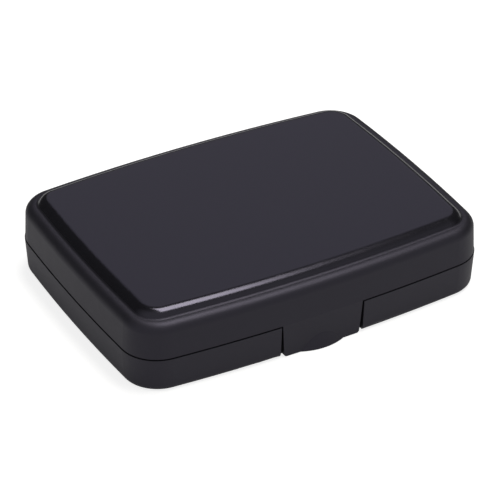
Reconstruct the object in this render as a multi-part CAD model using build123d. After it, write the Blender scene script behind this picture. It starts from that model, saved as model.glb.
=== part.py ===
from build123d import *
import math
import os

# A watercolour pan set in a shallow hinged case, all sizes in millimetres.
# Frame: origin on the underside at the middle of the case's plan, +X to the right along the
# long side, -Y the front with the latch tab, +Y the back with the hinge, +Z up. Lid closed.
# The case is a base shell and a lid shell. In the base a front tray holds twelve half pans and a
# short brush, and a rear tray has three mixing wells and a sponge pocket. A mixing leaf folds out
# from the front tray over the left rim. The lid holds a mixing palette.

# Case outline: a rectangle whose four sides are shallow arcs and whose corners are round.
case_length = 130.0
case_depth = 96.6
long_side_bow = 3.5
short_side_bow = 1.85
corner_radius = 12.8

# Heights
case_height = 26.8
parting_height = 12.3
parting_gap = 0.4
base_rim = parting_height - parting_gap / 2
lid_rim = parting_height + parting_gap / 2

# Walls of the two shells
base_wall = 2.0
floor_thickness = 1.8
foot_round = 2.1
base_draft = 3.4
tongue_inset = 1.3
tongue_top = 13.5
tongue_back = 40.7
tongue_root = 1.0
lid_inset = 0.2
lid_draft = 3.0
lid_wall = 2.0
lip_groove_inset = 1.1
lip_groove_top = 13.8
shoulder_height = 24.4
shoulder_round = 3.2
panel_foot_inset = 4.6
panel_slope = 41.0
panel_foot_round = 0.9
panel_edge_round = 3.6
panel_wall = 1.7

# Underside: one shallow groove that follows the outline
groove_inset = 9.0
groove_width = 1.6
groove_depth = 0.4

# Latch tab on the lid and the recess it drops into
tab_wall = 1.8
tab_half_top = 14.6
tab_half_foot = 13.8
tab_lean = 2.5
tab_foot = 0.15
corner_cut = 0.6
front_wall_reach = 8.0
recess_half = 15.1
recess_depth = 3.2
recess_wall = 1.5
lip_height = 6.0
lip_reach = 1.7
lip_radius = 18.5
lip_half = 12.0
bead_half = 8.0
bead_radius = 0.5
bead_height = 4.6
bead_sink = 0.05
catch_radius = 0.4
catch_sink = 0.15
catch_height = 6.3

# Case hinge: two stations, each one base knuckle between two lid knuckles on a steel pin
hinge_y = 49.7
hinge_z = case_height / 2
knuckle_radius = 2.2
station_x = 34.0
base_knuckle = 8.0
lid_knuckle = 4.3
knuckle_gap = 0.25
pin_radius = 0.9
running_clearance = 0.05
gusset_root_y = 45.8
gusset_rim = 1.6
gusset_sink = 0.1
pin_set_back = 0.3

# The two trays and the pans
tray_inset = 2.3
tray_top = 12.1
tray_plate = 1.2
tray_edge_round = 0.3
front_tray_back = 11.0
rear_tray_front = 11.3
recess_clearance = 0.4
pan_size = (16.0, 19.0, 10.0)
pan_wall = 0.8
pan_bottom = 0.9
pan_corner = 1.2
pan_inner_corner = 0.8
pan_lip_round = 0.25
pan_columns = 6
pan_pitch = 17.2
pan_floor = 3.6
pocket_clearance = 0.15
pocket_wall = 1.0
front_row_y = -32.3
brush_y = -16.3
back_row_y = -0.3
channel_radius = 5.2
channel_half = 58.0
well_front = 12.6
well_back = 41.0
well_count = 4
well_span = 110.0
well_rib = 2.4
well_depth = 4.2
well_corner = 5.0
well_floor_round = 1.6
sponge_floor = 3.4
paint_top = 12.7

# Mixing leaf, hinged along the tray's left side
leaf_axis_x = -59.3
leaf_axis_z = 14.55
leaf_front = -35.5
leaf_back = 11.0
leaf_free_edge = -20.0
leaf_bottom = 14.3
leaf_plate = 1.2
plate_edge_round = 0.35
leaf_well_depth = 2.4
leaf_well_start = -52.2
leaf_margin = 2.4
leaf_corner = 3.0
leaf_side = 3.2
leaf_web = 3.6
leaf_well_round = 1.4
leaf_knuckle_radius = 1.5
leaf_pin_radius = 0.7
ear_length = 3.0

# Palette inside the lid
palette_inset = 2.9
palette_face = 18.3
palette_plate = 1.2
palette_well_depth = 3.6
palette_half = (53.2, 36.1)
palette_rib = 2.6
palette_skin = 1.1
palette_well_round = 1.8

# Brush, distances along it from the handle's end
brush_radius = 3.8
brush_length = 112.0
handle_profile = ((8.0, 2.0), (34.0, 2.9), (58.0, 3.6))
ferrule_start = 71.0
tenon_end = 80.0
ferrule_end = 92.0
hair_root = 6.0
tip_radius = 1.2
neck_radius = 3.0
tenon_radius = 2.6
mouth_radius = 2.2
ferrule_swell = 0.2
ferrule_wall = 0.3
belly = (99.0, 2.75)

# Sponge
sponge_gap = 1.2
sponge_lift = 0.1
sponge_top = 13.2
sponge_corner = 4.5
sponge_round = 2.0

half_length = case_length / 2
half_depth = case_depth / 2
whole_width = (-case_length, case_length)


def arc_radius(half_chord, rise):
    return (half_chord**2 + rise**2) / (2 * rise)


long_radius = arc_radius(half_length, long_side_bow)
short_radius = arc_radius(half_depth, short_side_bow)


def corner_centre():
    """Where the corner circle touches both side arcs from inside."""
    long_centre = Vector(0, half_depth - long_radius)
    short_centre = Vector(half_length - short_radius, 0)
    to_long = long_radius - corner_radius
    to_short = short_radius - corner_radius
    between = short_centre - long_centre
    along = (to_long**2 - to_short**2 + between.length**2) / (2 * between.length)
    across = math.sqrt(to_long**2 - along**2)
    unit = between.normalized()
    return long_centre + unit * along + Vector(unit.Y, -unit.X) * across


def outline(inset):
    """The case's plan, moved in by inset all round."""
    corner = corner_centre()
    long_centre = Vector(0, half_depth - long_radius)
    short_centre = Vector(half_length - short_radius, 0)
    radius = corner_radius - inset
    on_long = corner + (corner - long_centre).normalized() * radius
    on_short = corner + (corner - short_centre).normalized() * radius
    middle = corner + ((on_long - corner) + (on_short - corner)).normalized() * radius

    def turned(point, sx, sy):
        return (point.X * sx, point.Y * sy)

    edges = []
    for sx, sy in ((1, 1), (-1, 1), (-1, -1), (1, -1)):
        ends = (turned(on_short, sx, sy), turned(on_long, sx, sy))
        edges.append(ThreePointArc(ends[0], turned(middle, sx, sy), ends[1]))
    for sy in (1, -1):
        ends = (turned(on_long, 1, sy), turned(on_long, -1, sy))
        edges.append(ThreePointArc(ends[0], (0, sy * (half_depth - inset)), ends[1]))
    for sx in (1, -1):
        ends = (turned(on_short, sx, 1), turned(on_short, sx, -1))
        edges.append(ThreePointArc(ends[0], (sx * (half_length - inset), 0), ends[1]))
    return make_face(edges)


def slab(inset, bottom, top, slope=0.0):
    """The plan extruded from bottom to top, leaning in by slope degrees as it goes."""
    return extrude(Plane.XY.offset(bottom) * outline(inset), top - bottom, dir=(0, 0, 1), taper=slope)


def hung(inset, top, bottom, lean):
    """The plan at the top carried down to the bottom, leaning in by lean degrees."""
    return extrude(Plane.XY.offset(top) * outline(inset), top - bottom, dir=(0, 0, -1), taper=lean)


def block(x_range, y_range, z_range):
    size = [high - low for low, high in (x_range, y_range, z_range)]
    middle = [(low + high) / 2 for low, high in (x_range, y_range, z_range)]
    return Pos(*middle) * Box(*size)


def rounded_block(x_range, y_range, z_range, radius):
    """A block with its four upright edges rounded."""
    width, depth = x_range[1] - x_range[0], y_range[1] - y_range[0]
    middle = ((x_range[0] + x_range[1]) / 2, (y_range[0] + y_range[1]) / 2, z_range[0])
    return extrude(Pos(*middle) * RectangleRounded(width, depth, radius), z_range[1] - z_range[0])


def front_piece(points):
    """A block through the front wall whose front view has these (x, z) points."""
    start = half_depth - front_wall_reach
    return extrude(Plane.XZ.offset(start) * make_face(Polyline(*points, close=True)), 2 * front_wall_reach)


def grown(span, extra):
    return (span[0] - extra, span[1] + extra)


def edges_at(shape, height):
    return [e for e in shape.edges() if abs(e.bounding_box().min.Z - height) < 1e-4
            and abs(e.bounding_box().max.Z - height) < 1e-4]


def along_x(radius, x_range, y, z):
    middle = (x_range[0] + x_range[1]) / 2
    return Pos(middle, y, z) * Rot(0, 90, 0) * Cylinder(radius, x_range[1] - x_range[0])


def along_y(radius, x, y_range, z):
    middle = (y_range[0] + y_range[1]) / 2
    return Pos(x, middle, z) * Rot(90, 0, 0) * Cylinder(radius, y_range[1] - y_range[0])


def knuckle(x_range, side):
    """One knuckle and the 45 degree gusset that joins it to a back wall, below for side -1."""
    reach = knuckle_radius * math.sqrt(0.5)
    root_z = hinge_z + side * (reach + hinge_y + reach - gusset_root_y)
    rim_z = base_rim - gusset_sink if side < 0 else lid_rim + gusset_sink
    profile = Polyline(
        (gusset_root_y, rim_z),
        (hinge_y - gusset_rim, rim_z),
        (hinge_y, hinge_z),
        (hinge_y + reach, hinge_z + side * reach),
        (gusset_root_y, root_z),
        close=True,
    )
    face = Plane.YZ.offset(x_range[0]) * make_face(profile)
    return extrude(face, x_range[1] - x_range[0], dir=(1, 0, 0)) + along_x(
        knuckle_radius, x_range, hinge_y, hinge_z
    )


def base_knuckles():
    half = base_knuckle / 2
    return [(sx * station_x - half, sx * station_x + half) for sx in (-1, 1)]


def lid_knuckles():
    near = base_knuckle / 2 + knuckle_gap
    ranges = []
    for sx in (-1, 1):
        centre = sx * station_x
        ranges.append((centre - near - lid_knuckle, centre - near))
        ranges.append((centre + near, centre + near + lid_knuckle))
    return ranges


def make_base_shell():
    body = hung(0, base_rim, 0, base_draft)
    body = fillet(edges_at(body, 0), foot_round)
    shell = body - slab(base_wall, floor_thickness, case_height)
    rim = slab(tongue_inset, parting_height - tongue_root, tongue_top)
    tongue = rim - slab(base_wall, 0, case_height)
    shell += tongue & block(whole_width, (-case_depth, tongue_back), (0, case_height))
    inner_face = -half_depth + recess_depth
    backing = block(
        (-recess_half - recess_wall, recess_half + recess_wall),
        (-half_depth, inner_face + recess_wall),
        (0, tongue_top),
    )
    shell += backing & (body + rim)
    recess = front_piece([
        (-recess_half, case_height),
        (-recess_half, corner_cut),
        (-recess_half - corner_cut, 0),
        (-recess_half - corner_cut, -1),
        (recess_half + corner_cut, -1),
        (recess_half + corner_cut, 0),
        (recess_half, corner_cut),
        (recess_half, case_height),
    ])
    shell -= recess & block(whole_width, (-case_depth, inner_face), (-1, case_height))
    shell += along_x(catch_radius, (-bead_half, bead_half), inner_face + catch_sink, catch_height)
    shell -= slab(groove_inset, 0, groove_depth) - slab(groove_inset + groove_width, 0, groove_depth)
    for x_range in base_knuckles():
        shell += knuckle(x_range, -1)
        shell -= along_x(pin_radius, (x_range[0] - 1, x_range[1] + 1), hinge_y, hinge_z)
    return shell


def make_tab():
    """The springy tab: a slice of the front wall carried down to the underside, with a thumb lip."""
    outer = hung(lid_inset, lid_rim, tab_foot, tab_lean)
    inner = hung(lid_inset + tab_wall, lid_rim, tab_foot, tab_lean)
    front = front_piece([
        (-tab_half_top, lid_rim),
        (tab_half_top, lid_rim),
        (tab_half_foot, tab_foot + corner_cut),
        (tab_half_foot - corner_cut, tab_foot),
        (-tab_half_foot + corner_cut, tab_foot),
        (-tab_half_foot, tab_foot + corner_cut),
    ])
    tab = (outer - inner) & front
    lean = math.tan(math.radians(tab_lean))
    face_y = -half_depth + lid_inset + (lid_rim - tab_foot) * lean
    cone = Cone(lip_radius, lip_radius - lip_reach, lip_height)
    cone = Pos(0, face_y - lip_reach + lip_radius, tab_foot + lip_height / 2) * cone
    tab += cone & block((-lip_half, lip_half), (-case_depth, face_y + 1), (0, case_height))
    inner_y = face_y - (bead_height - tab_foot) * lean + tab_wall
    tab += along_x(bead_radius, (-bead_half, bead_half), inner_y - bead_sink, bead_height)
    return tab


def make_lid_shell():
    body = slab(lid_inset, lid_rim, shoulder_height, lid_draft)
    body = fillet(edges_at(body, shoulder_height), shoulder_round)
    panel = slab(panel_foot_inset, shoulder_height, case_height, panel_slope)
    panel = fillet(edges_at(panel, case_height), panel_edge_round)
    foot = [edge.center() for edge in edges_at(panel, shoulder_height)]
    body += panel
    body = fillet([e for e in edges_at(body, shoulder_height)
                   if min((e.center() - spot).length for spot in foot) < 0.01], panel_foot_round)
    ceiling = shoulder_height - lid_wall
    shell = body - slab(lid_inset + lid_wall, lid_rim, ceiling, lid_draft)
    shell -= slab(panel_foot_inset + panel_wall, ceiling, case_height - lid_wall, panel_slope)
    shell -= slab(lip_groove_inset, 0, lip_groove_top)
    shell += make_tab()
    for x_range in lid_knuckles():
        shell += knuckle(x_range, 1)
        shell -= along_x(
            pin_radius + running_clearance, (x_range[0] - 1, x_range[1] + 1), hinge_y, hinge_z
        )
    return shell


def make_hinge_pin(sx):
    reach = base_knuckle / 2 + knuckle_gap + lid_knuckle - pin_set_back
    return along_x(pin_radius, (sx * station_x - reach, sx * station_x + reach), hinge_y, hinge_z)


def pan_places():
    places = []
    for row_y in (front_row_y, back_row_y):
        for column in range(pan_columns):
            places.append(((column - (pan_columns - 1) / 2) * pan_pitch, row_y))
    return places


def around(place, size, grow, z_range, radius):
    """A rounded block centred on a place in the plan, grown sideways."""
    half_x, half_y = size[0] / 2 + grow, size[1] / 2 + grow
    return rounded_block(
        (place[0] - half_x, place[0] + half_x), (place[1] - half_y, place[1] + half_y), z_range, radius
    )


def make_pan(place):
    top = pan_floor + pan_size[2]
    cup = around(place, pan_size, 0, (pan_floor, top), pan_corner)
    cup -= around(place, pan_size, -pan_wall, (pan_floor + pan_bottom, top), pan_inner_corner)
    return fillet(edges_at(cup, top), pan_lip_round)


def make_paint(place):
    return around(place, pan_size, -pan_wall, (pan_floor + pan_bottom, paint_top), pan_inner_corner)


def well_ranges():
    width = (well_span - well_rib * (well_count - 1)) / well_count
    starts = [-well_span / 2 + i * (width + well_rib) for i in range(well_count)]
    return [(x, x + width) for x in starts]


def ear_places():
    middle = (leaf_front + leaf_back) / 2
    half = ear_length / 2
    centres = (leaf_front + half, middle, leaf_back - half)
    return [(y - half, y + half) for y in centres]


def tray_blank(y_range):
    """A flat tray with a skirt that fills the base between two depths."""
    blank = slab(tray_inset, floor_thickness, tray_top)
    blank &= block(whole_width, y_range, (0, case_height))
    hollow = slab(tray_inset + pocket_wall, 0, tray_top - tray_plate)
    hollow &= block(whole_width, (y_range[0] + pocket_wall, y_range[1] - pocket_wall), (0, case_height))
    return blank - hollow


def make_pan_tray():
    tray = tray_blank((-case_depth, front_tray_back))
    row_half = (pan_columns - 1) / 2 * pan_pitch + pan_size[0] / 2 + pocket_clearance + pocket_wall
    deep_half = pan_size[1] / 2 + pocket_clearance + pocket_wall
    for row_y in (front_row_y, back_row_y):
        tray += block((-row_half, row_half), (row_y - deep_half, row_y + deep_half),
                      (floor_thickness, tray_top))
    trough = channel_radius + pocket_wall
    tray += block((-channel_half - pocket_wall, channel_half + pocket_wall),
                  (brush_y - trough, brush_y + trough), (floor_thickness, tray_top))
    for place in pan_places():
        tray -= around(place, pan_size, pocket_clearance, (pan_floor, case_height), pan_corner)
    channel_z = sponge_floor + channel_radius
    tray -= along_x(channel_radius, (-channel_half, channel_half), brush_y, channel_z)
    tray -= block((-channel_half, channel_half), (brush_y - channel_radius, brush_y + channel_radius),
                  (channel_z, case_height))
    clear_x = recess_half + recess_wall + recess_clearance
    clear_y = -half_depth + recess_depth + recess_wall + recess_clearance
    tray -= block((-clear_x, clear_x), (-case_depth, clear_y), (0, case_height))
    tray = fillet(edges_at(tray, tray_top), tray_edge_round)
    for y_range in ear_places():
        foot = (leaf_axis_x - leaf_knuckle_radius, leaf_axis_x + leaf_knuckle_radius)
        tray += block(foot, y_range, (tray_top - tray_plate, leaf_axis_z))
        tray += along_y(leaf_knuckle_radius, leaf_axis_x, y_range, leaf_axis_z)
        tray -= along_y(leaf_pin_radius, leaf_axis_x, (y_range[0] - 1, y_range[1] + 1), leaf_axis_z)
    return tray


def make_mixing_tray():
    """The rear tray: mixing wells and, at the right, a deeper pocket for the sponge."""
    tray = tray_blank((rear_tray_front, case_depth))
    floors = [tray_top - well_depth] * (well_count - 1) + [sponge_floor]
    pockets = []
    for x_range, floor_z in zip(well_ranges(), floors):
        low = max(floor_z - pocket_wall, floor_thickness)
        tray += rounded_block(grown(x_range, pocket_wall), grown((well_front, well_back), pocket_wall),
                              (low, tray_top), well_corner + pocket_wall)
        pocket = rounded_block(x_range, (well_front, well_back), (floor_z, case_height), well_corner)
        pockets.append(fillet(edges_at(pocket, floor_z), well_floor_round))
    for pocket in pockets:
        tray -= pocket
    return fillet(edges_at(tray, tray_top), tray_edge_round)


def make_mixing_leaf():
    """A plate with two shallow wells that open downwards while it lies folded in."""
    top = leaf_bottom + leaf_plate
    plate = rounded_block((leaf_axis_x, leaf_free_edge), (leaf_front, leaf_back), (leaf_bottom, top),
                          leaf_corner)
    plate -= block((leaf_axis_x - 1, leaf_axis_x + leaf_side), grown((leaf_front, leaf_back), 1),
                   (0, case_height))
    middle = (leaf_front + leaf_back) / 2
    wells = ((leaf_front + leaf_margin, middle - leaf_margin / 2),
             (middle + leaf_margin / 2, leaf_back - leaf_margin))
    x_range = (leaf_well_start, leaf_free_edge - leaf_margin)
    well_floor = leaf_bottom + leaf_well_depth
    boss_top = well_floor + pocket_wall
    for y_range in wells:
        boss = rounded_block(grown(x_range, pocket_wall), grown(y_range, pocket_wall),
                             (leaf_bottom, boss_top), well_corner + pocket_wall)
        plate += fillet(edges_at(boss, boss_top), well_floor_round)
    for y_range in wells:
        pocket = rounded_block(x_range, y_range, (0, well_floor), well_corner)
        plate -= fillet(edges_at(pocket, well_floor), leaf_well_round)
    plate = fillet(edges_at(plate, leaf_bottom), plate_edge_round)
    ears = ear_places()
    for near, far in zip(ears, ears[1:]):
        y_range = (near[1] + knuckle_gap, far[0] - knuckle_gap)
        plate += block((leaf_axis_x, leaf_axis_x + leaf_web), y_range, (leaf_bottom, top))
        plate += along_y(leaf_knuckle_radius, leaf_axis_x, y_range, leaf_axis_z)
        plate -= along_y(leaf_pin_radius + running_clearance, leaf_axis_x,
                         (y_range[0] - 1, y_range[1] + 1), leaf_axis_z)
    return plate


def make_leaf_pin():
    ears = ear_places()
    y_range = (ears[0][0] + pin_set_back, ears[-1][1] - pin_set_back)
    return along_y(leaf_pin_radius, leaf_axis_x, y_range, leaf_axis_z)


def palette_wells():
    """Two large wells in front and three smaller ones behind."""
    half_x, half_y = palette_half
    half_rib = palette_rib / 2
    third = (2 * half_x - 2 * palette_rib) / 3
    front = [((-half_x, -half_rib), (-half_y, -half_rib)), ((half_rib, half_x), (-half_y, -half_rib))]
    starts = [-half_x + i * (third + palette_rib) for i in range(3)]
    return front + [((x, x + third), (half_rib, half_y)) for x in starts]


def make_lid_palette():
    top = palette_face + palette_plate
    ceiling = shoulder_height - lid_wall
    palette = slab(palette_inset, palette_face, top)
    palette += slab(palette_inset, palette_face, ceiling)
    palette -= slab(palette_inset + palette_plate, top, ceiling)
    well_floor = palette_face + palette_well_depth
    boss_top = well_floor + palette_skin
    for x_range, y_range in palette_wells():
        boss = rounded_block(grown(x_range, palette_skin), grown(y_range, palette_skin),
                             (palette_face, boss_top), well_corner + palette_skin)
        palette += fillet(edges_at(boss, boss_top), palette_well_round)
    for x_range, y_range in palette_wells():
        pocket = rounded_block(x_range, y_range, (palette_face, well_floor), well_corner)
        palette -= fillet(edges_at(pocket, well_floor), palette_well_round)
    return fillet(edges_at(palette, palette_face), plate_edge_round)


def turned(edges):
    """A brush part: half its section, from the handle's end along +X, spun about the brush's axis."""
    solid = revolve(make_face(edges), Axis.X)
    return Pos(-brush_length / 2, brush_y, sponge_floor + brush_radius) * solid


def make_brush_handle():
    outer = Spline((0, tip_radius), *handle_profile, (ferrule_start, neck_radius),
                   tangents=((0.4, 1), (1, -0.12)))
    tenon = Polyline((ferrule_start, neck_radius), (ferrule_start, tenon_radius), (tenon_end, tenon_radius),
                     (tenon_end, 0), (0, 0), (0, tip_radius))
    return turned(outer + tenon)


def make_brush_ferrule():
    return turned(Polyline(
        (ferrule_start, tenon_radius),
        (ferrule_start, neck_radius),
        (ferrule_start + 2, neck_radius + ferrule_swell),
        (tenon_end, neck_radius + ferrule_swell / 2),
        (ferrule_end, mouth_radius + ferrule_wall),
        (ferrule_end, mouth_radius),
        (tenon_end, tenon_radius),
        close=True,
    ))


def make_brush_hair():
    root = ferrule_end - hair_root
    root_radius = mouth_radius + hair_root * (tenon_radius - mouth_radius) / (ferrule_end - tenon_end)
    outside = Spline((ferrule_end, mouth_radius), belly, (brush_length, 0),
                     tangents=((1, 0.15), (1, -0.25)))
    inside = Polyline((brush_length, 0), (root, 0), (root, root_radius), (ferrule_end, mouth_radius))
    return turned(outside + inside)


def make_sponge():
    x_range = grown(well_ranges()[-1], -sponge_gap)
    z_range = (sponge_floor + sponge_lift, sponge_top)
    body = rounded_block(x_range, grown((well_front, well_back), -sponge_gap), z_range, sponge_corner)
    return fillet([edge for z in z_range for edge in edges_at(body, z)], sponge_round)


def main():
    os.makedirs("parts", exist_ok=True)
    parts = {
        "base_shell": make_base_shell(),
        "lid_shell": make_lid_shell(),
        "hinge_pin_left": make_hinge_pin(-1),
        "hinge_pin_right": make_hinge_pin(1),
        "pan_tray": make_pan_tray(),
        "mixing_tray": make_mixing_tray(),
        "mixing_leaf": make_mixing_leaf(),
        "leaf_pin": make_leaf_pin(),
        "lid_palette": make_lid_palette(),
        "brush_handle": make_brush_handle(),
        "brush_ferrule": make_brush_ferrule(),
        "brush_hair": make_brush_hair(),
        "sponge": make_sponge(),
    }
    for number, place in enumerate(pan_places(), 1):
        parts[f"pan_{number:02d}"] = make_pan(place)
        parts[f"paint_{number:02d}"] = make_paint(place)
    for name, shape in parts.items():
        export_step(shape, f"parts/{name}.step")


main()
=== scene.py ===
import math

import bmesh
import bpy
from mathutils import Matrix, Vector, noise


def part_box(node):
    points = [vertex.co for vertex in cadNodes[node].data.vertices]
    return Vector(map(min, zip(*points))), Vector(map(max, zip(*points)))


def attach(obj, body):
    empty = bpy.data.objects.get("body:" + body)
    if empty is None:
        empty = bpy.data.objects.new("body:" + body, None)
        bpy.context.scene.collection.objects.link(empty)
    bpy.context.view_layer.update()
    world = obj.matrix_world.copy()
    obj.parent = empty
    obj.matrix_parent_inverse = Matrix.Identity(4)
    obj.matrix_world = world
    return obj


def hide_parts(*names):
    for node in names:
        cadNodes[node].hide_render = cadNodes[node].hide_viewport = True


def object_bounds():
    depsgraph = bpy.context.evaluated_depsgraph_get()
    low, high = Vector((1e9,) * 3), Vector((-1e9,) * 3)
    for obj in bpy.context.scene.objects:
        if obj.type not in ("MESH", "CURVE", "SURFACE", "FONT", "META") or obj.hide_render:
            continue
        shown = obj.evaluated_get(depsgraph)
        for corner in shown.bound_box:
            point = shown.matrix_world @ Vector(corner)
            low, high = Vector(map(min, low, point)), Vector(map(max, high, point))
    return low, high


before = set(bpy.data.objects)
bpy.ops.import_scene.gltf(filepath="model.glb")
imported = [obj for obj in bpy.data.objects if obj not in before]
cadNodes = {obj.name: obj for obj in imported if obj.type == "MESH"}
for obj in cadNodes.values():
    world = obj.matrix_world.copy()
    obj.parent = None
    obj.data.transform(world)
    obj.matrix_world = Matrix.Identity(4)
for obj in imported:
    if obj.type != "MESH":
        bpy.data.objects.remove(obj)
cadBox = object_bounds()
mm = 0.001
paintNumbers = [f"{number:02d}" for number in range(1, 13)]
print("frame loaded:", len(cadNodes), "CAD nodes")


# Node trees

def setInputs(tree, node, inputs):
    for key, value in inputs.items():
        socket = node.inputs[key]
        if isinstance(value, bpy.types.NodeSocket):
            tree.links.new(value, socket)
        else:
            socket.default_value = value


def addNode(tree, kind, inputs=None, **settings):
    node = tree.nodes.new(kind)
    for name, value in settings.items():
        setattr(node, name, value)
    setInputs(tree, node, inputs or {})
    return node


def mathNode(tree, operation, a, b=0.0):
    return addNode(tree, "ShaderNodeMath", {0: a, 1: b}, operation=operation).outputs[0]


def mapRange(tree, value, fromLow, fromHigh, toLow, toHigh):
    inputs = {"Value": value, "From Min": fromLow, "From Max": fromHigh, "To Min": toLow, "To Max": toHigh}
    return addNode(tree, "ShaderNodeMapRange", inputs).outputs["Result"]


def objectPlace(tree):
    return addNode(tree, "ShaderNodeTexCoord").outputs["Object"]


def stretched(tree, place, scale):
    return addNode(tree, "ShaderNodeMapping", {"Vector": place, "Scale": scale}).outputs["Vector"]


def noiseNode(tree, vector, scale, detail=2.0, roughness=0.5):
    inputs = {"Vector": vector, "Scale": scale, "Detail": detail, "Roughness": roughness}
    return addNode(tree, "ShaderNodeTexNoise", inputs).outputs["Fac"]


def mixColour(tree, factor, dark, light):
    node = addNode(tree, "ShaderNodeMix", data_type="RGBA")
    setInputs(tree, node, {0: factor, 6: dark, 7: light})
    return node.outputs[2]


def makeGroup(name, inputs, outputs):
    group = bpy.data.node_groups.new(name, "ShaderNodeTree")
    for label, kind, value in inputs:
        socket = group.interface.new_socket(label, in_out="INPUT", socket_type=kind)
        socket.default_value = value
    for label, kind in outputs:
        group.interface.new_socket(label, in_out="OUTPUT", socket_type=kind)
    return group, group.nodes.new("NodeGroupInput").outputs, group.nodes.new("NodeGroupOutput").inputs


def startMaterial(name, roughness=0.5, **fixed):
    material = bpy.data.materials.new(name)
    material.use_nodes = True
    tree = material.node_tree
    shader = tree.nodes["Principled BSDF"]
    shader.inputs["Roughness"].default_value = roughness
    for key, value in fixed.items():
        shader.inputs[key.replace("_", " ")].default_value = value
    return material, tree, shader


def addBump(tree, shader, height, distance, strength=1.0):
    bump = addNode(tree, "ShaderNodeBump", {"Height": height, "Distance": distance, "Strength": strength})
    tree.links.new(bump.outputs["Normal"], shader.inputs["Normal"])


def opaque(colour):
    return (*colour, 1.0)


def shaded(colour, factor):
    return opaque([channel * factor for channel in colour])


def dress(nodeName, material):
    data = cadNodes[nodeName].data
    data.materials.clear()
    data.materials.append(material)


def finishPiece(piece, body, slotName, *nodeNames):
    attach(piece, body)
    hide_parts(*nodeNames)


def smooth(mesh):
    mesh.polygons.foreach_set("use_smooth", [True] * len(mesh.polygons))


def addPiece(name, mesh, material):
    piece = bpy.data.objects.new(name, mesh)
    bpy.context.scene.collection.objects.link(piece)
    mesh.materials.clear()
    mesh.materials.append(material)
    return piece


# Moulded plastics. The skin is a fine eroded grain on a slow waviness, and smears vary its gloss and tone.

mouldTexture = {
    "grainDetail": 3.0, "grainRoughness": 0.6, "waveScale": 55.0, "waveDetail": 1.0,
    "smearScale": 240.0, "smearDetail": 4.0, "smearRoughness": 0.6,
    "bumpDepth": 0.02 * mm, "bumpStrength": 0.5,
}


def makeMouldSkin():
    group, given, out = makeGroup(
        "mouldSkin",
        [("Grain size", "NodeSocketFloat", 0.12), ("Grain height", "NodeSocketFloat", 0.3),
         ("Wave height", "NodeSocketFloat", 0.2), ("Gloss", "NodeSocketFloat", 0.4),
         ("Gloss spread", "NodeSocketFloat", 0.05)],
        [("Height", "NodeSocketFloat"), ("Roughness", "NodeSocketFloat"), ("Tone", "NodeSocketFloat")],
    )
    place = objectPlace(group)
    grainScale = mathNode(group, "DIVIDE", 1.0 / mm, given["Grain size"])
    grain = noiseNode(group, place, grainScale, mouldTexture["grainDetail"], mouldTexture["grainRoughness"])
    wave = noiseNode(group, place, mouldTexture["waveScale"], mouldTexture["waveDetail"])
    smear = noiseNode(group, place, mouldTexture["smearScale"], mouldTexture["smearDetail"],
                      mouldTexture["smearRoughness"])
    grainPart = mathNode(group, "MULTIPLY", grain, given["Grain height"])
    wavePart = mathNode(group, "MULTIPLY", wave, given["Wave height"])
    group.links.new(mathNode(group, "ADD", grainPart, wavePart), out["Height"])
    swing = mathNode(group, "MULTIPLY", mathNode(group, "SUBTRACT", smear, 0.5), given["Gloss spread"])
    group.links.new(mathNode(group, "ADD", given["Gloss"], swing), out["Roughness"])
    group.links.new(smear, out["Tone"])
    return group


def addMouldSkin(tree, shader, inputs, dark, light):
    skin = addNode(tree, "ShaderNodeGroup", inputs, node_tree=mouldSkin)
    tree.links.new(skin.outputs["Roughness"], shader.inputs["Roughness"])
    tree.links.new(mixColour(tree, skin.outputs["Tone"], dark, light), shader.inputs["Base Color"])
    addBump(tree, shader, skin.outputs["Height"], mouldTexture["bumpDepth"], mouldTexture["bumpStrength"])


mouldSkin = makeMouldSkin()
lidTop = cadBox[1].z

# panelStart and panelFull are heights: the walls' grain fades into the panel's polish between them
casePlastic = {
    "dark": (0.0054, 0.0053, 0.0068), "light": (0.0068, 0.0067, 0.0084),
    "sheen": (0.82, 0.77, 1.0), "sheenLevel": 0.54, "grainSize": 0.16, "glossSpread": 0.07,
    "wallGloss": 0.50, "panelGloss": 0.20, "wallGrain": 0.35, "panelGrain": 0.03,
    "panelStart": lidTop - 2.25 * mm, "panelFull": lidTop - 1.85 * mm,
}


def makeCasePlastic():
    # the lid's raised panel is polished, and the walls are satin
    material, tree, shader = startMaterial("caseBlackPlastic", Specular_Tint=opaque(casePlastic["sheen"]),
                                           Specular_IOR_Level=casePlastic["sheenLevel"])
    height = addNode(tree, "ShaderNodeSeparateXYZ", {"Vector": objectPlace(tree)}).outputs["Z"]
    panel = mapRange(tree, height, casePlastic["panelStart"], casePlastic["panelFull"], 0.0, 1.0)
    addMouldSkin(tree, shader, {
        "Grain size": casePlastic["grainSize"],
        "Gloss spread": casePlastic["glossSpread"],
        "Gloss": mapRange(tree, panel, 0.0, 1.0, casePlastic["wallGloss"], casePlastic["panelGloss"]),
        "Grain height": mapRange(tree, panel, 0.0, 1.0, casePlastic["wallGrain"], casePlastic["panelGrain"]),
    }, opaque(casePlastic["dark"]), opaque(casePlastic["light"]))
    return material


whiteBody = {"subsurface": 0.15, "subsurfaceDepth": 0.6 * mm, "shade": 0.95}
whitePlastics = {
    "trayWhite": {"colour": (0.80, 0.80, 0.785), "gloss": 0.38, "grain": 0.25},
    "paletteWhite": {"colour": (0.84, 0.84, 0.83), "gloss": 0.18, "grain": 0.05},
    "panWhite": {"colour": (0.82, 0.82, 0.81), "gloss": 0.28, "grain": 0.12},
}


def makeWhitePlastic(name):
    spec = whitePlastics[name]
    material, tree, shader = startMaterial(name, Subsurface_Weight=whiteBody["subsurface"],
                                           Subsurface_Scale=whiteBody["subsurfaceDepth"])
    addMouldSkin(tree, shader, {"Grain height": spec["grain"], "Gloss": spec["gloss"]},
                 shaded(spec["colour"], whiteBody["shade"]), opaque(spec["colour"]))
    return material


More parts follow.
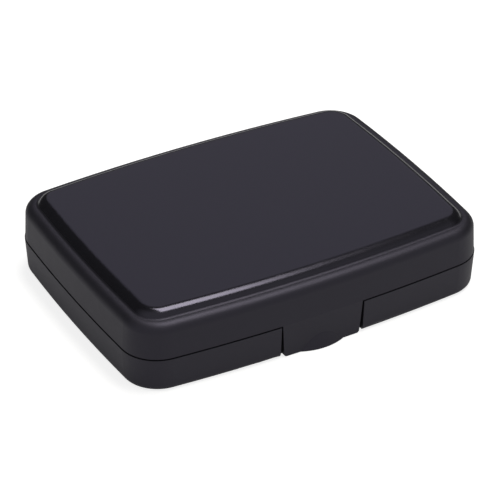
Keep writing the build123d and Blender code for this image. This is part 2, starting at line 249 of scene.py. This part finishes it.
blackPlastic = makeCasePlastic()
for nodeName in ("base_shell", "lid_shell"):
    dress(nodeName, blackPlastic)
trayWhite, paletteWhite, panWhite = (makeWhitePlastic(name) for name in whitePlastics)
for nodeName in ("pan_tray", "mixing_tray"):
    dress(nodeName, trayWhite)
for nodeName in ("mixing_leaf", "lid_palette"):
    dress(nodeName, paletteWhite)
for number in paintNumbers:
    dress("pan_" + number, panWhite)
print("moulded plastics done")


# Metals: drawn wire for the pins, a polished tube for the ferrule

metalStreak = {"detail": 3.0, "roughness": 0.6, "low": 0.25, "high": 0.75, "shade": 0.82,
               "bumpDepth": 0.004 * mm, "bumpStrength": 0.6}
metals = {
    "pinWire": {"colour": (0.52, 0.52, 0.53), "gloss": 0.30, "spread": 0.18, "scale": (900, 9000, 9000)},
    "leafWire": {"colour": (0.52, 0.52, 0.53), "gloss": 0.30, "spread": 0.18, "scale": (9000, 900, 9000)},
    "ferruleShine": {"colour": (0.62, 0.62, 0.64), "gloss": 0.24, "spread": 0.14, "scale": (6000, 500, 500)},
}


def makeMetal(name):
    spec = metals[name]
    material, tree, shader = startMaterial(name, Metallic=1.0)
    streak = noiseNode(tree, stretched(tree, objectPlace(tree), spec["scale"]), 1.0,
                       metalStreak["detail"], metalStreak["roughness"])
    shiny = spec["gloss"] - spec["spread"] / 2
    dull = spec["gloss"] + spec["spread"] / 2
    gloss = mapRange(tree, streak, metalStreak["low"], metalStreak["high"], shiny, dull)
    tree.links.new(gloss, shader.inputs["Roughness"])
    colour = mixColour(tree, streak, shaded(spec["colour"], metalStreak["shade"]), opaque(spec["colour"]))
    tree.links.new(colour, shader.inputs["Base Color"])
    addBump(tree, shader, streak, metalStreak["bumpDepth"], metalStreak["bumpStrength"])
    return material


pinWire = makeMetal("pinWire")
dress("hinge_pin_left", pinWire)
dress("hinge_pin_right", pinWire)
dress("leaf_pin", makeMetal("leafWire"))
print("pins done")


# Paint cakes: poured and dried, so they climb the pan's walls, sink in the middle and are pitted

paintCake = {
    "rings": 22, "around": 72, "ringSpacing": 0.85, "corner": 0.8 * mm, "wallGap": 0.06 * mm,
    "climb": 0.45 * mm, "climbWidth": 1.3 * mm, "climbFall": 2.4, "topDrop": 0.4,
    "sink": 0.75 * mm, "sinkBase": 0.75, "sinkSwing": 0.5, "driftScale": 160, "driftStep": 3.1,
    "ripple": 0.20 * mm, "rippleScale": 2.4, "rippleSoftness": 0.8, "rippleGrowth": 2.1, "rippleLayers": 4,
    "pit": 0.16 * mm, "pitScale": 900, "pitStep": 1.7, "pitSharpness": 2.6,
    "colours": {
        "01": (0.86, 0.70, 0.03), "02": (0.84, 0.42, 0.01), "03": (0.74, 0.15, 0.01),
        "04": (0.52, 0.012, 0.012), "05": (0.20, 0.006, 0.025), "06": (0.045, 0.006, 0.10),
        "07": (0.006, 0.012, 0.20), "08": (0.004, 0.035, 0.13), "09": (0.004, 0.07, 0.045),
        "10": (0.035, 0.085, 0.006), "11": (0.09, 0.024, 0.007), "12": (0.008, 0.008, 0.010),
    },
}


# mottleAndCrackShade darkens the pigment both for the mottle's random tone and for the painted shade in the
# cracks
cakeTexture = {
    "mottleScale": 330.0, "mottleDetail": 5.0, "mottleRoughness": 0.62, "mottleLow": 0.30, "mottleHigh": 0.70,
    "gumScale": 140.0, "gumLow": 0.38, "gumHigh": 0.62, "wetGloss": 0.24, "dryGloss": 0.58,
    "crackScale": 420.0, "crackWidth": 0.05, "crackStart": 0.52, "crackFull": 0.62, "crackDepth": 0.5,
    "mottleAndCrackShade": 0.45, "seedStep": 0.07, "specular": 0.45, "bumpDepth": 0.09 * mm, "bumpStrength": 0.9,
}


def makeCakeSkin():
    # mottled pigment, glossier in patches of gum, with fine shrinkage cracks where it is dry, and the cracks
    # painted dark as painted shade
    group, given, out = makeGroup(
        "cakeSkin",
        [("Colour", "NodeSocketColor", (0.5, 0.5, 0.5, 1.0)), ("Seed", "NodeSocketFloat", 0.0)],
        [("Colour", "NodeSocketColor"), ("Roughness", "NodeSocketFloat"), ("Height", "NodeSocketFloat")],
    )
    shift = addNode(group, "ShaderNodeCombineXYZ", {axis: given["Seed"] for axis in "XYZ"}).outputs[0]
    place = addNode(group, "ShaderNodeVectorMath", {0: objectPlace(group), 1: shift},
                    operation="ADD").outputs[0]
    mottle = noiseNode(group, place, cakeTexture["mottleScale"], cakeTexture["mottleDetail"],
                       cakeTexture["mottleRoughness"])
    gum = noiseNode(group, place, cakeTexture["gumScale"])
    crackle = addNode(group, "ShaderNodeTexVoronoi", {"Vector": place, "Scale": cakeTexture["crackScale"]},
                      feature="DISTANCE_TO_EDGE").outputs["Distance"]
    # solid is 0 along a crack and 1 beside it, and the cracks show only in patches
    solid = mapRange(group, crackle, 0.0, cakeTexture["crackWidth"], 0.0, 1.0)
    patch = mapRange(group, gum, cakeTexture["crackStart"], cakeTexture["crackFull"], 0.0, 1.0)
    solid = mathNode(group, "MAXIMUM", solid, mathNode(group, "SUBTRACT", 1.0, patch))
    dark = mixColour(group, cakeTexture["mottleAndCrackShade"], given["Colour"], opaque((0.0, 0.0, 0.0)))
    shade = mapRange(group, mottle, cakeTexture["mottleLow"], cakeTexture["mottleHigh"], 0.0, 1.0)
    tone = mixColour(group, shade, dark, given["Colour"])
    # the cracks take the dark colour: painted shade down in the cracks
    group.links.new(mixColour(group, solid, dark, tone), out["Colour"])
    gloss = mapRange(group, gum, cakeTexture["gumLow"], cakeTexture["gumHigh"],
                     cakeTexture["wetGloss"], cakeTexture["dryGloss"])
    group.links.new(gloss, out["Roughness"])
    height = mathNode(group, "ADD", mathNode(group, "MULTIPLY", solid, cakeTexture["crackDepth"]), mottle)
    group.links.new(height, out["Height"])
    return group


cakeSkin = makeCakeSkin()


def makePaint(number):
    material, tree, shader = startMaterial("paint" + number, Specular_IOR_Level=cakeTexture["specular"])
    inputs = {"Colour": opaque(paintCake["colours"][number]), "Seed": cakeTexture["seedStep"] * int(number)}
    skin = addNode(tree, "ShaderNodeGroup", inputs, node_tree=cakeSkin)
    tree.links.new(skin.outputs["Colour"], shader.inputs["Base Color"])
    tree.links.new(skin.outputs["Roughness"], shader.inputs["Roughness"])
    addBump(tree, shader, skin.outputs["Height"], cakeTexture["bumpDepth"], cakeTexture["bumpStrength"])
    return material


def roundedRing(half, corner, count):
    # points spaced evenly in angle around a rounded rectangle, each found by halving its distance out
    halvings = 30
    points = []
    for step in range(count):
        turn = 2 * math.pi * (step + 0.5) / count
        direction = Vector((math.cos(turn), math.sin(turn)))
        low, high = 0.0, half.length
        for _ in range(halvings):
            middle = (low + high) / 2
            spot = direction * middle
            over = Vector((max(abs(spot.x) - half.x + corner, 0), max(abs(spot.y) - half.y + corner, 0)))
            low, high = (middle, high) if over.length < corner else (low, middle)
        points.append(direction * low)
    return points


def cakeHeight(spot, half, seed):
    toWall = min(half.x - abs(spot.x), half.y - abs(spot.y))
    climb = paintCake["climb"] * math.exp(-toWall / paintCake["climbWidth"] * paintCake["climbFall"])
    middle = max(0.0, 1 - (spot.x / half.x) ** 2) * max(0.0, 1 - (spot.y / half.y) ** 2)
    driftScale, pitScale = paintCake["driftScale"], paintCake["pitScale"]
    drift = Vector((spot.x * driftScale, spot.y * driftScale, seed * paintCake["driftStep"]))
    uneven = paintCake["sinkBase"] + paintCake["sinkSwing"] * noise.noise(drift)
    sink = paintCake["sink"] * middle * uneven
    ripple = paintCake["ripple"] * noise.fractal(
        drift * paintCake["rippleScale"], paintCake["rippleSoftness"], paintCake["rippleGrowth"],
        paintCake["rippleLayers"])
    pitSpot = Vector((spot.x * pitScale, spot.y * pitScale, seed * paintCake["pitStep"]))
    toPit = noise.voronoi(pitSpot)[0][0]
    return climb - sink + ripple - paintCake["pit"] * max(0.0, 1 - toPit * paintCake["pitSharpness"])


def makeCake(number):
    low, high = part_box("paint_" + number)
    centre = (low + high) / 2
    half = Vector(((high.x - low.x) / 2 - paintCake["wallGap"], (high.y - low.y) / 2 - paintCake["wallGap"]))
    edge = roundedRing(half, paintCake["corner"], paintCake["around"])
    seed = int(number)
    build = bmesh.new()
    top = high.z - paintCake["climb"] * paintCake["topDrop"]
    rings = []
    for level in (low.z, (low.z + top) / 2):
        rings.append([build.verts.new((centre.x + p.x, centre.y + p.y, level)) for p in edge])
    for ring in range(paintCake["rings"]):
        scale = (1 - ring / paintCake["rings"]) ** paintCake["ringSpacing"]
        row = []
        for point in edge:
            spot = point * scale
            height = top + cakeHeight(spot, half, seed)
            row.append(build.verts.new((centre.x + spot.x, centre.y + spot.y, height)))
        rings.append(row)
    count = paintCake["around"]
    for outer, inner in zip(rings, rings[1:]):
        for step in range(count):
            after = (step + 1) % count
            build.faces.new((outer[step], outer[after], inner[after], inner[step]))
    hub = build.verts.new((centre.x, centre.y, top + cakeHeight(Vector((0, 0)), half, seed)))
    for step in range(count):
        build.faces.new((rings[-1][step], rings[-1][(step + 1) % count], hub))
    build.faces.new(list(reversed(rings[0])))
    bmesh.ops.recalc_face_normals(build, faces=build.faces)
    mesh = bpy.data.meshes.new("cake" + number)
    build.to_mesh(mesh)
    build.free()
    for face in mesh.polygons:
        face.use_smooth = len(face.vertices) <= 4  # only the bottom stays flat
    piece = addPiece("cake" + number, mesh, makePaint(number))
    finishPiece(piece, "base", "paint_" + number, "paint_" + number)


for number in paintNumbers:
    makeCake(number)
print("paint cakes done")


# Brush: lacquered handle, crimped ferrule and a pointed tuft of single hairs, all along +X

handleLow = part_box("brush_handle")[0]
ferruleLow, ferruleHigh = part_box("brush_ferrule")
hairLow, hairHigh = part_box("brush_hair")
brushAxis = Vector((0, (hairLow.y + hairHigh.y) / 2, (hairLow.z + hairHigh.z) / 2))

handleLacquer = {"red": (0.30, 0.010, 0.008), "deep": (0.17, 0.004, 0.004), "dip": (0.012, 0.012, 0.014),
                 "dipLength": 13 * mm, "band": (0.62, 0.42, 0.12), "bandLength": 1.6 * mm,
                 "gloss": 0.34, "coat": 1.0, "coatGloss": 0.06, "grainScale": (60, 1500, 1500),
                 "grainDetail": 4.0, "grainRoughness": 0.6, "bumpDepth": 0.02 * mm, "bumpStrength": 0.4}


def makeHandleLacquer():
    # red over the wood's long grain, a black dipped end and a thin gold band where the two meet
    material, tree, shader = startMaterial("handleLacquer", handleLacquer["gloss"],
                                           Coat_Weight=handleLacquer["coat"],
                                           Coat_Roughness=handleLacquer["coatGloss"])
    place = objectPlace(tree)
    grain = noiseNode(tree, stretched(tree, place, handleLacquer["grainScale"]), 1.0,
                      handleLacquer["grainDetail"], handleLacquer["grainRoughness"])
    red = mixColour(tree, grain, opaque(handleLacquer["deep"]), opaque(handleLacquer["red"]))
    along = addNode(tree, "ShaderNodeSeparateXYZ", {"Vector": place}).outputs["X"]
    dipEnd = handleLow.x + handleLacquer["dipLength"]
    pastDip = mathNode(tree, "GREATER_THAN", along, dipEnd)
    pastBand = mathNode(tree, "GREATER_THAN", along, dipEnd + handleLacquer["bandLength"])
    colour = mixColour(tree, pastDip, opaque(handleLacquer["dip"]), opaque(handleLacquer["band"]))
    tree.links.new(mixColour(tree, pastBand, colour, red), shader.inputs["Base Color"])
    addBump(tree, shader, grain, handleLacquer["bumpDepth"], handleLacquer["bumpStrength"])
    return material


ferrule = {"around": 64, "steps": 120, "wall": 0.35 * mm, "mouth": 2.5 * mm, "taperStart": 9 * mm,
           "taperPower": 1.2, "crimps": (2.6 * mm, 4.4 * mm, 6.2 * mm), "crimpDepth": 0.22 * mm,
           "crimpWidth": 0.55 * mm,
           "roll": 0.14 * mm, "rollWidth": 0.3 * mm, "rollFromBack": 0.35 * mm, "rollFromMouth": 0.3 * mm}


def lathe(name, points, around, material):
    # points are (along X, radius); the profile is closed into a ring of its own
    build = bmesh.new()
    rows = []
    for along, radius in points:
        turns = [2 * math.pi * step / around for step in range(around)]
        rows.append([build.verts.new((along, brushAxis.y + radius * math.cos(turn),
                                      brushAxis.z + radius * math.sin(turn))) for turn in turns])
    for near, far in zip(rows, rows[1:] + rows[:1]):
        for step in range(around):
            after = (step + 1) % around
            build.faces.new((near[step], near[after], far[after], far[step]))
    bmesh.ops.recalc_face_normals(build, faces=build.faces)
    mesh = bpy.data.meshes.new(name)
    build.to_mesh(mesh)
    build.free()
    smooth(mesh)
    return addPiece(name, mesh, material)


def ringed(along, middle, width):
    # 1 at the middle of a ring round the tube, falling softly to 0 on both sides
    return math.exp(-(((along - middle) / width) ** 2))


def makeFerrule():
    length = ferruleHigh.x - ferruleLow.x
    full = (ferruleHigh.z - ferruleLow.z) / 2
    outer, inner = [], []
    for step in range(ferrule["steps"] + 1):
        along = length * step / ferrule["steps"]
        taper = max(0.0, along - ferrule["taperStart"]) / (length - ferrule["taperStart"])
        radius = full + (ferrule["mouth"] - full) * taper ** ferrule["taperPower"]
        inner.append((ferruleLow.x + along, radius - ferrule["wall"]))
        for crimp in ferrule["crimps"]:
            radius -= ferrule["crimpDepth"] * ringed(along, crimp, ferrule["crimpWidth"])
        for end in (ferrule["rollFromBack"], length - ferrule["rollFromMouth"]):
            radius += ferrule["roll"] * ringed(along, end, ferrule["rollWidth"])
        outer.append((ferruleLow.x + along, radius))
    piece = lathe("ferruleTube", outer + inner[::-1], ferrule["around"], makeMetal("ferruleShine"))
    finishPiece(piece, "base", "ferrule_metal", "brush_ferrule")


# profile is the tuft's width from root to tip, as shares of the length and of the belly
tuft = {"hairs": 1500, "thickness": 0.055 * mm, "root": 2.15 * mm, "belly": 1.30, "seed": 11,
        "tucked": 1.0 * mm, "crowding": 0.36, "shortest": 0.88, "sway": 0.10,
        "points": 9, "sides": 4, "taperStart": 0.5, "tipWidth": 0.3,
        "profile": ((0.0, 0.76), (0.15, 0.88), (0.34, 0.98), (0.55, 0.86), (0.76, 0.52), (0.90, 0.20),
                    (1.0, 0.012)),
        "dark": (0.050, 0.018, 0.006), "light": (0.22, 0.10, 0.035), "tip": (0.34, 0.19, 0.08),
        "gloss": 0.38, "specular": 0.6, "strandScale": (90, 5200, 5200), "strandLow": 0.3,
        "strandHigh": 0.7, "tipFade": 2.5}


def makeHairMaterial():
    material, tree, shader = startMaterial("sableHair", tuft["gloss"], Specular_IOR_Level=tuft["specular"])
    place = objectPlace(tree)
    strand = noiseNode(tree, stretched(tree, place, tuft["strandScale"]), 1.0)
    along = addNode(tree, "ShaderNodeSeparateXYZ", {"Vector": place}).outputs["X"]
    toTip = mapRange(tree, along, ferruleHigh.x, hairHigh.x, 0.0, 1.0)
    shade = mapRange(tree, strand, tuft["strandLow"], tuft["strandHigh"], 0.0, 1.0)
    hair = mixColour(tree, shade, opaque(tuft["dark"]), opaque(tuft["light"]))
    colour = mixColour(tree, mathNode(tree, "POWER", toTip, tuft["tipFade"]), hair, opaque(tuft["tip"]))
    tree.links.new(colour, shader.inputs["Base Color"])
    return material


def makeHairTree(material):
    # every hair starts in the ferrule's mouth, swells to the belly and runs to the common point
    tree = bpy.data.node_groups.new("hairTuft", "GeometryNodeTree")
    face = tree.interface
    face.new_socket("Geometry", in_out="OUTPUT", socket_type="NodeSocketGeometry")
    sizes = [
        ("Hairs", "NodeSocketInt", tuft["hairs"]), ("Seed", "NodeSocketInt", tuft["seed"]),
        ("Thickness", "NodeSocketFloat", tuft["thickness"]), ("Root radius", "NodeSocketFloat", tuft["root"]),
        ("Start", "NodeSocketFloat", ferruleHigh.x - tuft["tucked"]),
        ("Length", "NodeSocketFloat", hairHigh.x - ferruleHigh.x + tuft["tucked"]),
    ]
    for label, kind, value in sizes:
        face.new_socket(label, in_out="INPUT", socket_type=kind).default_value = value
    given = tree.nodes.new("NodeGroupInput").outputs
    out = tree.nodes.new("NodeGroupOutput").inputs

    def randomValue(low, high, offset):
        seed = mathNode(tree, "ADD", given["Seed"], offset)
        node = addNode(tree, "FunctionNodeRandomValue", data_type="FLOAT")
        setInputs(tree, node, {2: low, 3: high, 8: seed})
        return node.outputs[1]

    def captured(geometry, value):
        node = tree.nodes.new("GeometryNodeCaptureAttribute")
        node.capture_items.new("FLOAT", "value")
        node.domain = "POINT"
        setInputs(tree, node, {0: geometry, 1: value})
        return node.outputs[0], node.outputs[1]

    points = addNode(tree, "GeometryNodePoints", {"Count": given["Hairs"]}).outputs[0]
    spread = mathNode(tree, "POWER", randomValue(0.0, 1.0, 0), tuft["crowding"])
    points, spread = captured(points, spread)
    points, turn = captured(points, randomValue(0.0, 2 * math.pi, 1))
    points, reach = captured(points, randomValue(tuft["shortest"], 1.0, 2))
    points, bend = captured(points, randomValue(-1.0, 1.0, 3))
    strand = addNode(tree, "GeometryNodeCurvePrimitiveLine").outputs[0]
    strand = addNode(tree, "GeometryNodeResampleCurve", {0: strand, "Count": tuft["points"]}).outputs[0]
    strands = addNode(tree, "GeometryNodeInstanceOnPoints", {"Points": points, "Instance": strand}).outputs[0]
    curves = addNode(tree, "GeometryNodeRealizeInstances", {0: strands}).outputs[0]
    along = addNode(tree, "GeometryNodeSplineParameter").outputs["Factor"]
    swell = tree.nodes.new("ShaderNodeFloatCurve")
    profile = swell.mapping.curves[0].points
    first, *between, last = tuft["profile"]
    profile[0].location = first
    profile[1].location = last
    for share, width in between:
        profile.new(share, width)
    swell.mapping.update()
    tree.links.new(along, swell.inputs["Value"])
    width = mathNode(tree, "MULTIPLY", swell.outputs[0], tuft["belly"])
    radius = mathNode(tree, "MULTIPLY", mathNode(tree, "MULTIPLY", given["Root radius"], spread), width)
    sway = mathNode(tree, "MULTIPLY", mathNode(tree, "MULTIPLY", bend, tuft["sway"]), along)
    angle = mathNode(tree, "ADD", turn, sway)
    travel = mathNode(tree, "MULTIPLY", mathNode(tree, "MULTIPLY", given["Length"], reach), along)
    across = mathNode(tree, "MULTIPLY", radius, mathNode(tree, "COSINE", angle))
    upward = mathNode(tree, "MULTIPLY", radius, mathNode(tree, "SINE", angle))
    spot = addNode(tree, "ShaderNodeCombineXYZ", {
        "X": mathNode(tree, "ADD", given["Start"], travel),
        "Y": mathNode(tree, "ADD", across, brushAxis.y),
        "Z": mathNode(tree, "ADD", upward, brushAxis.z),
    }).outputs[0]
    curves = addNode(tree, "GeometryNodeSetPosition", {0: curves, "Position": spot}).outputs[0]
    ring = addNode(tree, "GeometryNodeCurvePrimitiveCircle",
                   {"Resolution": tuft["sides"], "Radius": given["Thickness"]})
    taper = mapRange(tree, along, tuft["taperStart"], 1.0, 1.0, tuft["tipWidth"])
    body = addNode(tree, "GeometryNodeCurveToMesh",
                   {"Curve": curves, "Profile Curve": ring.outputs[0], "Scale": taper}).outputs[0]
    body = addNode(tree, "GeometryNodeRealizeInstances", {0: body}).outputs[0]
    body = addNode(tree, "GeometryNodeSetMaterial", {"Geometry": body, "Material": material}).outputs[0]
    tree.links.new(body, out[0])
    return tree


def grow(name, tree, material):
    # evaluates a node tree once and keeps only the mesh it makes
    seedMesh = bpy.data.meshes.new(name + "Seed")
    holder = bpy.data.objects.new(name + "Holder", seedMesh)
    bpy.context.scene.collection.objects.link(holder)
    modifier = holder.modifiers.new("grow", "NODES")
    modifier.node_group = tree
    for item in tree.interface.items_tree:
        if item.in_out == "INPUT":
            modifier[item.identifier] = item.default_value
    graph = bpy.context.evaluated_depsgraph_get()
    mesh = bpy.data.meshes.new_from_object(holder.evaluated_get(graph), depsgraph=graph)
    mesh.name = name
    holder.modifiers.clear()
    bpy.data.objects.remove(holder)
    return addPiece(name, mesh, material)


def makeTuft():
    material = makeHairMaterial()
    piece = grow("hairTuft", makeHairTree(material), material)
    smooth(piece.data)
    finishPiece(piece, "base", "brush_hair", "brush_hair")
    print("hair tuft:", len(piece.data.polygons), "faces")


dress("brush_handle", makeHandleLacquer())
makeFerrule()
makeTuft()
print("brush done")


# Sponge: a cut block of natural sponge, open cells of two sizes all over

sponge = {
    "voxel": 0.34 * mm, "merge": 0.001 * mm, "shrink": 0.25 * mm, "rough": 0.22 * mm, "roughScale": 420,
    "cells": [{"scale": 300.0, "depth": 1.5 * mm, "openness": 0.62},
              {"scale": 760.0, "depth": 0.65 * mm, "openness": 0.66}],
    # dark is the colour painted into the cells' hollows as painted shade
    "pitShadeStrength": 1.25, "light": (0.66, 0.43, 0.15), "dark": (0.20, 0.10, 0.025), "shade": 0.72,
    "gloss": 0.88, "specular": 0.2, "sheen": 0.25, "subsurface": 0.25, "subsurfaceDepth": 1.2 * mm,
    "blotchScale": 220.0, "blotchDetail": 4.0, "blotchRoughness": 0.6,
    "fibreScale": 5200.0, "fibreDetail": 3.0, "fibreRoughness": 0.7,
    "bumpDepth": 0.12 * mm, "bumpStrength": 0.8,
}


def makeSpongeMaterial():
    material, tree, shader = startMaterial(
        "naturalSponge", sponge["gloss"], Specular_IOR_Level=sponge["specular"], Sheen_Weight=sponge["sheen"],
        Subsurface_Weight=sponge["subsurface"], Subsurface_Scale=sponge["subsurfaceDepth"])
    pit = addNode(tree, "ShaderNodeAttribute", attribute_name="pit").outputs["Fac"]
    place = objectPlace(tree)
    blotch = noiseNode(tree, place, sponge["blotchScale"], sponge["blotchDetail"], sponge["blotchRoughness"])
    wall = mixColour(tree, blotch, shaded(sponge["light"], sponge["shade"]), opaque(sponge["light"]))
    # the hollows take the dark colour by the pit attribute: painted shade in the cells
    tree.links.new(mixColour(tree, pit, wall, opaque(sponge["dark"])), shader.inputs["Base Color"])
    fibres = noiseNode(tree, place, sponge["fibreScale"], sponge["fibreDetail"], sponge["fibreRoughness"])
    addBump(tree, shader, fibres, sponge["bumpDepth"], sponge["bumpStrength"])
    return material


def makeSponge():
    mesh = cadNodes["sponge"].data.copy()
    build = bmesh.new()
    build.from_mesh(mesh)
    bmesh.ops.remove_doubles(build, verts=build.verts, dist=sponge["merge"])
    build.to_mesh(mesh)
    build.free()
    piece = addPiece("naturalSponge", mesh, makeSpongeMaterial())
    remesh = piece.modifiers.new("cells", "REMESH")
    remesh.mode = "VOXEL"
    remesh.voxel_size = sponge["voxel"]
    graph = bpy.context.evaluated_depsgraph_get()
    fine = bpy.data.meshes.new_from_object(piece.evaluated_get(graph), depsgraph=graph)
    piece.modifiers.clear()
    piece.data = fine
    spots = [vertex.co.copy() for vertex in fine.vertices]
    normals = [vertex.normal.copy() for vertex in fine.vertices]
    pitShade = []
    for vertex, spot, normal in zip(fine.vertices, spots, normals):
        depth = 0.0
        for cell in sponge["cells"]:
            nearest = noise.voronoi(spot * cell["scale"])[0][0]
            hollow = max(0.0, 1 - (nearest / cell["openness"]) ** 2)
            depth = max(depth, cell["depth"] * hollow)
        rough = sponge["rough"] * noise.noise(spot * sponge["roughScale"])
        vertex.co = spot - normal * (sponge["shrink"] + depth + rough)
        # the deeper a cell's hollow, the more painted shade it gets
        pitShade.append(min(1.0, depth / sponge["cells"][0]["depth"] * sponge["pitShadeStrength"]))
    layer = fine.attributes.new("pit", "FLOAT", "POINT")
    layer.data.foreach_set("value", pitShade)
    smooth(fine)
    finishPiece(piece, "base", "sponge", "sponge")
    print("sponge:", len(fine.polygons), "faces")


makeSponge()
print("sponge done")


# Camera, light and floor

view = {"aim": (6.82 * mm, 11.21 * mm, 0.0), "distance": 867.07 * mm, "azimuth": -0.5141,
        "elevation": 0.5863, "roll": 0.0016, "lens": 186.23, "sensor": 36.0, "farthest": 10.0}


def makeCamera():
    data = bpy.data.cameras.new("camera")
    data.lens = view["lens"]
    data.sensor_width = view["sensor"]
    data.clip_end = view["farthest"]
    camera = bpy.data.objects.new("camera", data)
    bpy.context.scene.collection.objects.link(camera)
    turn = (Matrix.Rotation(view["azimuth"], 4, "Z")
            @ Matrix.Rotation(math.pi / 2 - view["elevation"], 4, "X")
            @ Matrix.Rotation(view["roll"], 4, "Z"))
    back = turn @ Vector((0, 0, view["distance"], 0))
    camera.matrix_world = Matrix.Translation(Vector(view["aim"]) + back.to_3d()) @ turn
    bpy.context.scene.camera = camera


# the sky fades from worldFront to worldBack as a direction turns backward. glow is the floor's light on
# the case, and paper is what the camera sees on top of it
studio = {
    "worldFront": (0.56, 0.56, 0.56), "worldBack": (0.05, 0.05, 0.05),
    "backward": (0.5, 0.85, 0.0), "fadeStart": -0.45, "fadeEnd": 0.20,
    "floor": (0.40, 0.40, 0.40), "floorHalf": 6.0, "floorDrop": 0.02 * mm, "floorGloss": 0.9,
    "floorMottle": 3.0, "floorShade": 0.985, "glow": 0.25, "paper": 0.54,
    "lights": [
        {"name": "topBox", "place": (0.22, 0.0, 1.05), "size": (0.76, 0.36), "power": 9.0,
         "tint": (1.0, 0.98, 0.94)},
        {"name": "backBox", "place": (0.68, 1.15, 0.86), "size": (0.95, 0.8), "power": 1.15,
         "tint": (0.86, 0.83, 1.0)},
    ],
}


def makeLight(spec):
    data = bpy.data.lights.new(spec["name"], "AREA")
    data.shape = "RECTANGLE"
    data.size, data.size_y = spec["size"]
    data.energy = spec["power"]
    data.color = spec["tint"]
    lamp = bpy.data.objects.new(spec["name"], data)
    bpy.context.scene.collection.objects.link(lamp)
    aim = (-Vector(spec["place"])).to_track_quat("-Z", "Y")
    lamp.matrix_world = Matrix.Translation(spec["place"]) @ aim.to_matrix().to_4x4()


def makeFloor():
    mesh = bpy.data.meshes.new("floor")
    half = studio["floorHalf"]
    corners = [(-half, -half, 0), (half, -half, 0), (half, half, 0), (-half, half, 0)]
    mesh.from_pydata(corners, [], [(0, 1, 2, 3)])
    floor = bpy.data.objects.new("floor", mesh)
    floor.location.z = -studio["floorDrop"]
    bpy.context.scene.collection.objects.link(floor)
    material, tree, shader = startMaterial("palePaper", studio["floorGloss"])
    shade = noiseNode(tree, objectPlace(tree), studio["floorMottle"])
    colour = mixColour(tree, shade, shaded(studio["floor"], studio["floorShade"]), opaque(studio["floor"]))
    tree.links.new(colour, shader.inputs["Base Color"])
    # a light table: it softens the shadow, and is whiter seen straight than it is mirrored in the walls
    seen = addNode(tree, "ShaderNodeLightPath").outputs["Is Camera Ray"]
    shader.inputs["Emission Color"].default_value = opaque((1.0, 1.0, 1.0))
    glow = mapRange(tree, seen, 0.0, 1.0, studio["glow"], studio["glow"] + studio["paper"])
    tree.links.new(glow, shader.inputs["Emission Strength"])
    mesh.materials.append(material)


def makeWorld():
    world = bpy.data.worlds.new("studioWorld")
    bpy.context.scene.world = world
    world.use_nodes = True
    tree = world.node_tree
    direction = addNode(tree, "ShaderNodeTexCoord").outputs["Generated"]
    toBack = addNode(tree, "ShaderNodeVectorMath", {0: direction, 1: studio["backward"]},
                     operation="DOT_PRODUCT").outputs["Value"]
    fade = mapRange(tree, toBack, studio["fadeStart"], studio["fadeEnd"], 0.0, 1.0)
    colour = mixColour(tree, fade, opaque(studio["worldFront"]), opaque(studio["worldBack"]))
    tree.links.new(colour, tree.nodes["Background"].inputs["Color"])


makeCamera()
makeWorld()
for spec in studio["lights"]:
    makeLight(spec)
makeFloor()
bpy.context.scene.view_settings.view_transform = "Standard"
print("camera, light and floor done")
